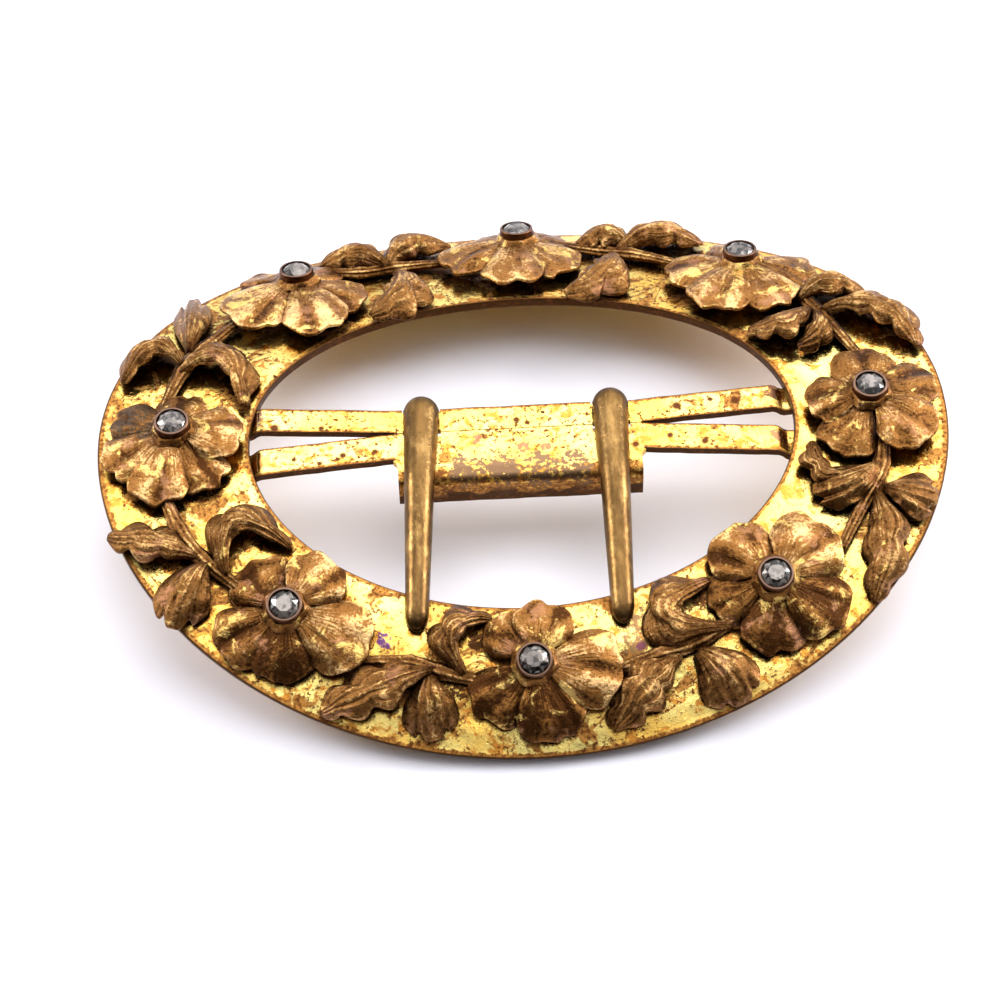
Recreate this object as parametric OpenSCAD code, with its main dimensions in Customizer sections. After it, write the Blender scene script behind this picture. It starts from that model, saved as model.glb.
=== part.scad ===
// Sash buckle: a bent oval plate with a slotted cross bar, two tongues, and a wreath of riveted
// flowers and leaf sprays. Millimetres, +Z up. The origin lies on the surface that it rests on,
// under the middle of the plate. X runs along the oval's long axis and Y across it.
// Places on the bent plate are given as x and s, where s is measured along the bend from the crest.

/* [Plate] */
// Length of the oval plate
plate_l = 79.94; // [76:0.1:84]
// Width of the oval plate, measured along its bend
plate_w = 66.04; // [62:0.1:68]
// Length of the opening
open_l = 51.28; // [48:0.1:53]
// Width of the opening, measured along the bend
open_w = 37.44; // [35:0.1:39]
// Shift of the opening along X
open_x = -0.15; // [-0.3:0.05:0.3]
// Shift of the opening along the bend
open_s = -0.36; // [-0.5:0.02:0.2]
// Radius of the bend, at the upper face
bend_r = 65; // [60:0.5:75]
// Thickness of the plate's sheet
sheet_t = 0.9; // [0.8:0.05:1.0]

/* [Cross bar] */
// Thickness of the bar's sheet
bar_t = 0.7; // [0.6:0.05:0.8]
// How far the bar's upper face lies under the plate's crest
bar_drop = 0.1; // [0.05:0.05:0.3]
// Turn of the bar in plan
bar_skew = -1.2; // [-1.5:0.1:0]
// Middle of the bar along X
bar_x = -0.5; // [-0.6:0.1:0.2]
// Half of the bar's length with its soldered tabs
bar_reach = 29; // [28:0.5:31]
// Start of the joggle that lowers each end of the bar under the plate
joggle_x = 23.5; // [23:0.1:23.8]
// Length of the joggle
joggle_l = 1.5; // [1.3:0.1:1.6]
// Half length of the middle flap
flap_x = 11.4; // [11.2:0.1:12]
// Where the flap's fold begins, along -Y
flap_y = 5; // [4.8:0.1:5.2]
// Outer radius of the flap's fold
fold_r = 0.9; // [0.8:0.05:1.0]
// Depth of the folded lip under the bar's upper face
lip_h = 2.6; // [2:0.1:3]

/* [Tongues] */
// Places of the two tongues along the bar
tongue_x = [-9.05, 8.8]; // [-10:0.05:10]
// Lean of each tongue in plan, from square to the bar
tongue_lean = [-3.1, -0.9]; // [-4:0.1:0]
// Downward slope of each tongue past the fold
tongue_slope = [10.5, 11.0]; // [9:0.1:11.2]
// Radius of the domed head
head_r = 1.7; // [1.65:0.01:1.75]
// Radius of the tongue where it bends
waist_r = 1.42; // [1.35:0.01:1.5]
// Radius of the tongue's tip
tip_r = 1.08; // [1.0:0.01:1.15]
// Length from the hinge to the tip, in plan
tongue_l = 22.3; // [21.5:0.1:22.6]
// Length from the hinge to the bend, in plan
waist_l = 7.1; // [7:0.1:7.4]
// Height of the half-round section's centre line over the flat back
back_h = 0.25; // [0.2:0.05:0.3]
// Gap between the tongue's flat back and the bar
back_gap = 0.05; // [0.04:0.01:0.1]

/* [Flowers] */
// Radius of the round end of a petal
petal_r = 2.9; // [2.6:0.1:3.1]
// Thickness of a petal
petal_t = 0.5; // [0.4:0.05:0.6]
// Height of a flower's dome over the plate
flower_h = 2.5; // [2.4:0.05:2.6]
// Radius of a flower's dome
dome_r = 30; // [28:1:34]
// Radius of the boss under a flower
boss_r = 1.8; // [1.7:0.05:2]
// Radius of the rivet stem
stem_r = 0.9; // [0.8:0.05:0.95]
// Outer radius of a collet
collet_r = 1.65; // [1.6:0.05:1.8]
// Radius of a stone
stone_r = 1.25; // [1.2:0.01:1.27]

/* [Leaf sprays] */
// Width of a stem
twig_w = 1.3; // [1.1:0.1:1.5]
// Height of a stem's upper face over the plate
twig_h = 0.85; // [0.7:0.05:0.85]
// Thickness of a leaf
leaf_t = 0.5; // [0.4:0.05:0.6]
// Height that a leaf arches
leaf_rise = 1.1; // [0.9:0.05:1.3]

/* [Hidden] */
// Small gap between pieces that are riveted or set together
gap = 0.05;
// How deep one piece runs into another where they are soldered
sink = 0.05;
// Points round an oval outline
oval_n = 96;
// Clearance round the hinge strip
hinge_gap = 0.05;
// How far the tongue steps in under its bend
waist_step = 0.03;
// Radius of a flower's heart, between its petals
heart_r = boss_r + 1;
// Room between a leaf spray and the petals over it
petal_room = 0.15;
// Radius of the round nodes along a stem, a little over half of its width
knot_r = 0.56 * twig_w;
// Height of a leaf's ends over the plate
leaf_foot = 0.12;
// The collet's wall and floor, its height, and how far its rim leans over the stone
collet_wall = 0.35;
collet_h = 0.97;
rim_bevel = 0.12;
rim_lean = 0.13;
// The peened end of the rivet stem: how far it spreads, its bevel and its height
peen_spread = 0.4;
peen_bevel = 0.1;
peen_h = 0.3;
// The stone in section: its foot, its widest band, and its flat top
stone_foot_r = 0.25;
stone_low = 0.32;
stone_band = 0.08;
stone_top_r = 0.75;
stone_h = 0.78;

// Half of the plate's width in plan, and the crest height that puts its lowest edge at zero
plate_y = bend_r * sin(deg(plate_w / 2 / bend_r));
crest = bend_r - sqrt(pow(bend_r - sheet_t, 2) - pow(plate_y, 2));
axis_z = crest - bend_r;
bar_top = crest - bar_drop;
tab_top = crest - sheet_t + sink;

// The bar's two strips in plan: x and the far and near edges. They part at the ends.
UPPER_STRIP = [[11, 2.65, -0.1], [25, 3.75, 1.0], [29, 4.0, 1.3]];
LOWER_STRIP = [[12, -0.1, -3.2], [25, -1.3, -4.35], [29, -1.5, -4.6]];

// The neck of the upper strip that a tongue's eye turns on, and the room that the eye needs
neck_y = [0.2, 2.35];
neck_x = head_r + 0.1;
hinge_y = (neck_y[0] + neck_y[1]) / 2;
hinge_z = bar_top - bar_t / 2;
hinge_r = norm([(neck_y[1] - neck_y[0]) / 2, bar_t / 2]) + hinge_gap;
eye_r = 1.75;
eye_w = 2.2;
eye_room = 0.1;

// Height of the tongue's flat back over the hinge, and the middle of its domed head
back_z = bar_t / 2 + back_gap;
head_y = 0.575;

// Flowers, from the left end clockwise: x, s, and the petals as turn and reach
FLOWERS = [
    [-32.7, 0.5, [[-8, 6.2], [-58, 7.4], [-106, 7.8], [-152, 7.2], [150, 6.2], [80, 5.2]]],
    [-20.8, 20.9, [[-140, 8.4], [-72, 8.4], [-22, 7.2], [62, 6.2], [150, 6.4]]],
    [1.3, 26.6, [[-158, 8.2], [-98, 8.0], [-42, 7.6], [35, 5.8], [130, 5.8]]],
    [22.9, 19.6, [[-178, 7.4], [-118, 8.2], [-66, 8.2], [-8, 7.4], [95, 6.0]]],
    [32.5, -0.3, [[180, 5.8], [88, 6.6], [16, 6.8], [-48, 7.4], [-122, 7.2]]],
    [21.4, -18.6, [[140, 6.2], [40, 7.2], [-34, 7.4], [-95, 7.0], [-162, 6.4]]],
    [-0.9, -24.8, [[64, 5.4], [124, 5.4], [-4, 7.6], [-70, 7.0], [-138, 7.0]]],
    [-22.9, -18.5, [[-154, 6.8], [-98, 6.4], [-32, 8.0], [36, 6.6], [100, 5.4]]],
];

// Leaf sprays, each after the flower of the same place: first the stem's bends as x and s, and
// then a row for each leaf as base, tip and width
SPRAYS = [
    [[[-32.9, 6.4], [-32.0, 10.9], [-29.9, 14.0], [-27.9, 16.3]],
     [[-31.3, 12.2], [-31.2, 20.4], 3.1],
     [[-32.2, 10.8], [-37.7, 7.8], 2.9],
     [[-32.5, 8.0], [-26.0, 3.8], 3.8]],
    [[[-18.0, 24.8], [-14.6, 24.4], [-11.1, 25.0], [-6.6, 25.3]],
     [[-12.3, 25.2], [-18.4, 26.8], 2.7],
     [[-11.8, 24.9], [-5.3, 31.0], 2.5],
     [[-11.0, 24.6], [-13.6, 15.8], 2.5]],
    [[[5.9, 27.7], [9.6, 25.9], [12.6, 24.8], [15.6, 23.1]],
     [[11.6, 25.9], [7.7, 29.6], 2.2],
     [[10.8, 25.4], [20.0, 26.8], 2.4],
     [[10.2, 25.2], [5.5, 17.6], 2.5]],
    [[[26.6, 18.0], [28.3, 15.7], [29.7, 13.3], [32.0, 7.9]],
     [[28.6, 15.6], [34.0, 14.3], 2.5],
     [[29.0, 14.2], [22.6, 9.5], 2.9],
     [[29.2, 13.9], [38.2, 6.3], 2.5]],
    [[[33.6, -4.2], [32.8, -7.0], [31.6, -9.4], [28.7, -14.2]],
     [[32.4, -7.4], [26.2, -9.2], 3.8],
     [[32.3, -8.9], [37.2, -12.2], 4.2],
     [[31.4, -9.9], [30.4, -20.6], 3.4]],
    [[[18.3, -21.2], [14.3, -23.4], [10.6, -24.5], [7.1, -25.5]],
     [[15.8, -22.3], [10.5, -20.1], 3.4],
     [[12.5, -24.3], [5.4, -31.2], 3.8],
     [[13.7, -24.2], [17.2, -29.8], 4.6]],
    [[[-5.8, -25.8], [-9.4, -24.7], [-12.0, -23.8], [-15.6, -23.4]],
     [[-8.5, -24.8], [-5.1, -20.2], 3.8],
     [[-10.9, -24.5], [-9.8, -30.7], 4.4],
     [[-11.9, -24.1], [-20.1, -27.7], 3.4]],
    [[[-26.6, -16.0], [-30.3, -12.6], [-32.4, -9.4], [-33.5, -6.1]],
     [[-28.7, -13.9], [-22.8, -12.6], 3.9],
     [[-30.8, -13.5], [-33.3, -19.5], 4.4],
     [[-30.9, -12.3], [-38.7, -10.1], 3.4]],
];

count = len(FLOWERS);

// Angles and places on the bend
function deg(radians) = radians * 180 / PI;
function plan_y(s, h = 0) = (bend_r + h) * sin(deg(s / bend_r));
function plan_point(p, h = 0) = [p[0], plan_y(p[1], h)];

// Stands its children on the plate's upper face, with Z along the normal
module on_face(x, s) {
    translate([x, 0, axis_z]) rotate([-deg(s / bend_r), 0, 0]) translate([0, 0, bend_r]) children();
}

// Moves its children into the bar's own turned frame
module on_bar() {
    translate([bar_x, 0, 0]) rotate([0, 0, bar_skew]) children();
}

// A full cylinder along X about the axis of the bend
module bend_roll(r) {
    translate([-plate_l, 0, axis_z]) rotate([0, 90, 0]) cylinder(h = 2 * plate_l, r = r, $fn = 360);
}

// The skin between two heights over the plate's upper face
module bent_skin(low, high) {
    difference() {
        bend_roll(bend_r + high);
        bend_roll(bend_r + low);
    }
}

// An oval laid along the bend, as it looks from above
module oval(l, w, x = 0, s = 0) {
    polygon([for (i = [0:oval_n - 1])
        let (turn = 360 * i / oval_n) [x + l / 2 * cos(turn), plan_y(s + w / 2 * sin(turn))]]);
}

// The bent plate, with its opening and the rivet holes
module plate() {
    difference() {
        intersection() {
            linear_extrude(crest + 1) difference() {
                oval(plate_l, plate_w);
                oval(open_l, open_w, open_x, open_s);
            }
            bent_skin(-sheet_t, 0);
        }
        for (f = FLOWERS)
            on_face(f[0], f[1]) translate([0, 0, -2 * sheet_t])
                cylinder(h = 3 * sheet_t, r = stem_r + gap, $fn = 48);
    }
}

// One strip of the bar in plan, mirrored about its middle
module strip(rows) {
    polygon(concat(
        [for (r = rows) [r[0], r[1]]],
        [for (i = [len(rows) - 1:-1:0]) [rows[i][0], rows[i][2]]],
        [for (r = rows) [-r[0], r[2]]],
        [for (i = [len(rows) - 1:-1:0]) [-rows[i][0], rows[i][1]]]
    ));
}

// The bar seen from above, with the necks for the tongues
module bar_plan() {
    slot_y = hinge_y - eye_r - eye_room;
    difference() {
        union() {
            strip(UPPER_STRIP);
            strip(LOWER_STRIP);
            translate([-flap_x, -flap_y]) square([2 * flap_x, flap_y]);
        }
        for (x = tongue_x) {
            translate([x - neck_x, neck_y[1]]) square([2 * neck_x, 1]);
            translate([x - neck_x, slot_y]) square([2 * neck_x, neck_y[0] - slot_y]);
        }
    }
}

// The bar seen from the side, with a joggle at each end
module bar_side() {
    low = joggle_x + joggle_l;
    polygon([
        [-bar_reach, tab_top], [-low, tab_top], [-joggle_x, bar_top], [joggle_x, bar_top],
        [low, tab_top], [bar_reach, tab_top], [bar_reach, tab_top - bar_t], [low, tab_top - bar_t],
        [joggle_x, bar_top - bar_t], [-joggle_x, bar_top - bar_t], [-low, tab_top - bar_t],
        [-bar_reach, tab_top - bar_t]
    ]);
}

// The lip along the flap, folded down, in section
module lip_side() {
    translate([-flap_y, bar_top - fold_r]) intersection() {
        difference() {
            circle(r = fold_r, $fn = 64);
            circle(r = fold_r - bar_t, $fn = 64);
        }
        translate([-fold_r, 0]) square(fold_r);
    }
    translate([-flap_y - fold_r, bar_top - lip_h]) square([bar_t, lip_h - fold_r]);
}

// The cross bar
module bar() {
    on_bar() {
        intersection() {
            linear_extrude(crest + 1) bar_plan();
            translate([0, plate_y, 0]) rotate([90, 0, 0]) linear_extrude(2 * plate_y) bar_side();
        }
        translate([-flap_x, 0, 0]) rotate([90, 0, 90]) linear_extrude(2 * flap_x) lip_side();
    }
}

module frame() {
    color("gold") {
        plate();
        bar();
    }
}

// Half of a tapered round bar's outline, from one round end to the other, for turning about Y
module taper_outline(r1, r2, l, steps = 6) {
    polygon(concat(
        [for (i = [0:steps]) let (a = 90 - 90 * i / steps) [r1 * cos(a), r1 * sin(a)]],
        [for (i = [0:steps]) let (a = -90 * i / steps) [r2 * cos(a), -l + r2 * sin(a)]]
    ));
}

// A tapered half-round bar that runs along -Y from its first centre, on a flat back at z = 0
module half_round(r1, r2, l) {
    intersection() {
        translate([0, 0, back_h]) rotate([-90, 0, 0]) rotate_extrude($fn = 64) taper_outline(r1, r2, l);
        translate([-3 * r1, -l - 3 * r1, 0]) cube([6 * r1, l + 6 * r1, 3 * r1]);
    }
}

// A tongue about its hinge: a level part over the bar, and a sloped part down to the plate
module tongue(lean, slope) {
    difference() {
        union() {
            rotate([0, 0, lean]) {
                translate([0, head_y, back_z]) half_round(head_r, waist_r - waist_step, waist_l + head_y);
                translate([0, -waist_l, back_z]) rotate([slope, 0, 0])
                    half_round(waist_r, tip_r, (tongue_l - waist_l) / cos(slope) - tip_r);
            }
            translate([-eye_w / 2, 0, 0]) rotate([0, 90, 0]) cylinder(h = eye_w, r = eye_r, $fn = 64);
        }
        translate([-2 * head_r, 0, 0]) rotate([0, 90, 0]) cylinder(h = 4 * head_r, r = hinge_r, $fn = 64);
    }
}

module placed_tongue(i) {
    color("olive") on_bar() translate([tongue_x[i], hinge_y, hinge_z])
        tongue(tongue_lean[i], tongue_slope[i]);
}

module left_tongue() { placed_tongue(0); }
module right_tongue() { placed_tongue(1); }

// A flower's outline about its middle, grown all round when it is to clear something
module petals(f, grow = 0) {
    circle(r = heart_r + grow, $fn = 48);
    for (p = f[2])
        rotate(p[0]) translate([p[1] - petal_r, 0]) circle(r = petal_r + grow, $fn = 48);
}

// A flower: a thin domed shell of petals on a boss, with a hole for the rivet stem
module flower(f) {
    color("darkgoldenrod") on_face(f[0], f[1]) difference() {
        union() {
            intersection() {
                linear_extrude(flower_h + 1) petals(f);
                translate([0, 0, flower_h - dome_r]) difference() {
                    sphere(r = dome_r, $fn = 180);
                    sphere(r = dome_r - petal_t, $fn = 180);
                }
            }
            translate([0, 0, gap]) cylinder(h = flower_h - petal_t / 2 - gap, r = boss_r, $fn = 48);
        }
        cylinder(h = flower_h + 1, r = stem_r + gap, $fn = 48);
    }
}

// A collet on its flower, with the rivet stem and its peened end behind the plate
module collet(f) {
    base = flower_h + gap;
    top = base + collet_h;
    inner_r = collet_r - collet_wall;
    back = -sheet_t - gap;
    color("sienna") on_face(f[0], f[1]) rotate_extrude($fn = 64) polygon([
        [0, base + collet_wall], [inner_r, base + collet_wall], [inner_r, top - rim_bevel],
        [inner_r - rim_lean, top], [collet_r - rim_bevel, top], [collet_r, top - rim_bevel],
        [collet_r, base], [stem_r, base], [stem_r, back], [stem_r + peen_spread, back],
        [stem_r + peen_spread - peen_bevel, back - peen_h], [0, back - peen_h]
    ]);
}

// A faceted stone, in section, in its collet
module stone(f) {
    base = flower_h + 2 * gap + collet_wall;
    color("lightblue") on_face(f[0], f[1]) rotate_extrude($fn = 64) polygon([
        [0, base], [stone_foot_r, base], [stone_r, base + stone_low],
        [stone_r, base + stone_low + stone_band], [stone_top_r, base + stone_h], [0, base + stone_h]
    ]);
}

// A leaf in plan, pointed at both ends
module leaf_plan(l, w) {
    r = (l * l + w * w) / (4 * w);
    intersection() {
        translate([0, r - w / 2]) circle(r = r, $fn = 180);
        translate([0, w / 2 - r]) circle(r = r, $fn = 180);
    }
}

// A leaf from a base to a tip on the plate, arched between them
module leaf(row) {
    run = row[1] - row[0];
    l = norm(run) + twig_w;
    middle = row[1] - run * (l / 2 / norm(run));
    r = (l * l / 4 + leaf_rise * leaf_rise) / (2 * leaf_rise);
    on_face(middle[0], middle[1]) rotate([0, 0, atan2(run[1], run[0])]) intersection() {
        translate([0, 0, -1]) linear_extrude(leaf_rise + 3) leaf_plan(l, row[2]);
        translate([0, 0, leaf_foot + leaf_rise - r]) difference() {
            sphere(r = r + leaf_t, $fn = 180);
            sphere(r = r, $fn = 180);
        }
    }
}

// A stem in plan: straight runs between round nodes that stand a little proud of them
module twig_plan(points) {
    flat = [for (p = points) plan_point(p, twig_h / 2)];
    for (p = flat) translate(p) circle(r = knot_r, $fn = 32);
    for (i = [1:len(flat) - 1]) {
        run = flat[i] - flat[i - 1];
        translate(flat[i - 1]) rotate(atan2(run[1], run[0]))
            translate([0, -twig_w / 2]) square([norm(run), twig_w]);
    }
}

// A leaf spray, cut back where the petals of its two neighbours lie over it
module leaf_spray(i) {
    rows = SPRAYS[i];
    color("peru") difference() {
        union() {
            intersection() {
                linear_extrude(crest + 2) twig_plan(rows[0]);
                bent_skin(gap, twig_h);
            }
            for (k = [1:len(rows) - 1]) leaf(rows[k]);
        }
        for (f = [FLOWERS[i], FLOWERS[(i + 1) % count]])
            on_face(f[0], f[1]) translate([0, 0, twig_h]) linear_extrude(flower_h) petals(f, petal_room);
    }
}

frame();
left_tongue();
right_tongue();
for (i = [0:count - 1]) {
    flower(FLOWERS[i]);
    collet(FLOWERS[i]);
    stone(FLOWERS[i]);
    leaf_spray(i);
}
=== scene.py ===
import math
import random

import bmesh
import bpy
from mathutils import Matrix, Vector, noise


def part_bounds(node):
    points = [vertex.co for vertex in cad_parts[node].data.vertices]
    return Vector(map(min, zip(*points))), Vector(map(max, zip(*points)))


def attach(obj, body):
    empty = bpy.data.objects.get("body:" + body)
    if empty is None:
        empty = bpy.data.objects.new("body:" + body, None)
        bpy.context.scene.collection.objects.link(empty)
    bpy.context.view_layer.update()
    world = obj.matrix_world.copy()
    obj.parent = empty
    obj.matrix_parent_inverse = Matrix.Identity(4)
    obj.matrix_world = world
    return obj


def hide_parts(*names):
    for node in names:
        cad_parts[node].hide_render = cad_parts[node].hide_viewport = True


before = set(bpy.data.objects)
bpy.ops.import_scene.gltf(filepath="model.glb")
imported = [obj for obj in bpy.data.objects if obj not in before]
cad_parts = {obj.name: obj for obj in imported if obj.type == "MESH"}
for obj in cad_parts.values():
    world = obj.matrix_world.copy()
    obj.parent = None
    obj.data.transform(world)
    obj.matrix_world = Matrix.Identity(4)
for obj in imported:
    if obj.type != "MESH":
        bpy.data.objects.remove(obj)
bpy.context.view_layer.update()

# The setting: a pale floor, white studio light from above and from both sides, and the photograph's view.
# The buckle's lengths are millimetres until fit_piece scales them. Those of lights and floor are metres.
MM = 0.001


def part_box(node):
    """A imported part's lowest and highest corners, in millimetres."""
    return [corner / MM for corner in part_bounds(node)]


def add_light(name, place, target, size, power, colour):
    lamp = bpy.data.lights.new(name, "AREA")
    lamp.shape = "DISK"
    lamp.size = size
    lamp.energy = power
    lamp.color = colour
    holder = bpy.data.objects.new(name, lamp)
    aim = Vector(target) - Vector(place)
    holder.matrix_world = Matrix.Translation(place) @ aim.to_track_quat("-Z", "Y").to_matrix().to_4x4()
    bpy.context.collection.objects.link(holder)


add_light("softbox_over", (0.10, 0.22, 0.55), (0, 0, 0), 0.80, 3.0, (0.99, 0.985, 1.0))
add_light("softbox_left", (-0.55, 0.20, 0.30), (0, 0, 0), 0.22, 2.4, (0.98, 0.98, 1.0))
add_light("softbox_right", (0.60, 0.16, 0.30), (0, 0, 0), 0.26, 3.4, (0.98, 0.98, 1.0))

world = bpy.data.worlds.new("studio")
bpy.context.scene.world = world
world.use_nodes = True
sky = world.node_tree
sky.nodes.clear()
sky_out = sky.nodes.new("ShaderNodeOutputWorld")
sky_light = sky.nodes.new("ShaderNodeBackground")
sky_place = sky.nodes.new("ShaderNodeTexCoord")
sky_axis = sky.nodes.new("ShaderNodeVectorMath")
sky_axis.operation = "DOT_PRODUCT"
sky_axis.inputs[1].default_value = (0.12, 0.62, 0.77)
sky_ramp = sky.nodes.new("ShaderNodeValToRGB")
sky_ramp.color_ramp.interpolation = "B_SPLINE"
room_dark, room_bright = sky_ramp.color_ramp.elements
room_dark.position = 0.0
room_dark.color = (0.02, 0.02, 0.023, 1)
room_bright.position = 0.84
room_bright.color = (1.0, 0.99, 1.0, 1)
sky_ramp.color_ramp.elements.new(0.20).color = (0.025, 0.025, 0.028, 1)
sky_ramp.color_ramp.elements.new(0.46).color = (0.60, 0.595, 0.61, 1)
sky.links.new(sky_place.outputs["Generated"], sky_axis.inputs[0])
sky.links.new(sky_axis.outputs["Value"], sky_ramp.inputs["Fac"])
sky.links.new(sky_ramp.outputs["Color"], sky_light.inputs["Color"])
sky_light.inputs["Strength"].default_value = 1.35
sky.links.new(sky_light.outputs["Background"], sky_out.inputs["Surface"])

floor_mesh = bmesh.new()
bmesh.ops.create_grid(floor_mesh, x_segments=1, y_segments=1, size=3)
floor_data = bpy.data.meshes.new("floor")
floor_mesh.to_mesh(floor_data)
floor_paint = bpy.data.materials.new("pale_floor")
floor_paint.use_nodes = True
floor_shader = floor_paint.node_tree.nodes["Principled BSDF"]
floor_shader.inputs["Base Color"].default_value = (0.85, 0.845, 0.91, 1)
floor_shader.inputs["Roughness"].default_value = 0.6
floor_shader.inputs["Specular IOR Level"].default_value = 0.2
floor_data.materials.append(floor_paint)
floor = bpy.data.objects.new("floor", floor_data)
bpy.context.collection.objects.link(floor)

view_place = Vector((-10.59, -168.77, 220.20)) * MM
view_right = Vector((0.99747, -0.06946, -0.01583))
view_up = Vector((0.0648, 0.7935, 0.6051))
view_back = Vector((-0.0295, -0.6046, 0.7959))
camera_lens = bpy.data.cameras.new("view")
camera_lens.lens = 103.5
camera_lens.sensor_width = 36
camera_lens.clip_start = 0.01
camera = bpy.data.objects.new("view", camera_lens)
view_turn = Matrix((view_right, view_up, view_back)).transposed().to_4x4()
camera.matrix_world = Matrix.Translation(view_place) @ view_turn
bpy.context.collection.objects.link(camera)
bpy.context.scene.camera = camera
bpy.context.scene.view_settings.view_transform = "Standard"


# The plate: an oval ring of gilt sheet brass with an oval opening, bent to an arc across its width.
# It was cut from 0.9 mm sheet, bent over a form and gilt. The gilding is worn, pitted and stained, and
# shade and light are painted into it.
plate_low, plate_high = part_box("frame")
bend_r = 65.0
crest = plate_high.z
plate_l = plate_high.x - plate_low.x
plate_w = 2 * bend_r * math.asin(plate_high.y / bend_r)
sheet_t = 0.9
opening_l = 51.28
opening_w = 37.44
opening_x = -0.15
opening_s = -0.36
oval_points = 256
oval_rings = 15
dent_h = 0.05
flaw_h = 0.02
outer_rim = 0.035
inner_rim = 0.03

def on_face(x, s, h):
    """A point at x along the plate and s along its bend from the crest, h over its upper face."""
    turn = s / bend_r
    return Vector((x, (bend_r + h) * math.sin(turn), crest - bend_r + (bend_r + h) * math.cos(turn)))


def ease(low, high, value):
    """Zero at low, one at high, and a smooth step between; low may be the larger."""
    t = min(1.0, max(0.0, (value - low) / (high - low)))
    return t * t * (3 - 2 * t)


def ripple(point, size, seed=0.0):
    """Smooth noise from -1 to 1 with waves of about that size."""
    return noise.noise(Vector(point) / size + Vector((seed * 7.3, seed * 3.1, seed * 5.7)))


def fit_piece(bm, name, body, material, node):
    """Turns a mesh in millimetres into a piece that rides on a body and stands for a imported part."""
    bmesh.ops.scale(bm, vec=(MM, MM, MM), verts=bm.verts)
    mesh = bpy.data.meshes.new(name)
    bm.to_mesh(mesh)
    bm.free()
    mesh.polygons.foreach_set("use_smooth", [True] * len(mesh.polygons))
    mesh.materials.append(material)
    piece = bpy.data.objects.new(name, mesh)
    bpy.context.collection.objects.link(piece)
    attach(piece, body)
    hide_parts(node)
    return piece


def round_edges(piece, width, segments):
    bevel = piece.modifiers.new("rounded", "BEVEL")
    bevel.width = width * MM
    bevel.segments = segments
    bevel.limit_method = "ANGLE"
    bevel.angle_limit = math.radians(35)
    bevel.harden_normals = True


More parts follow.
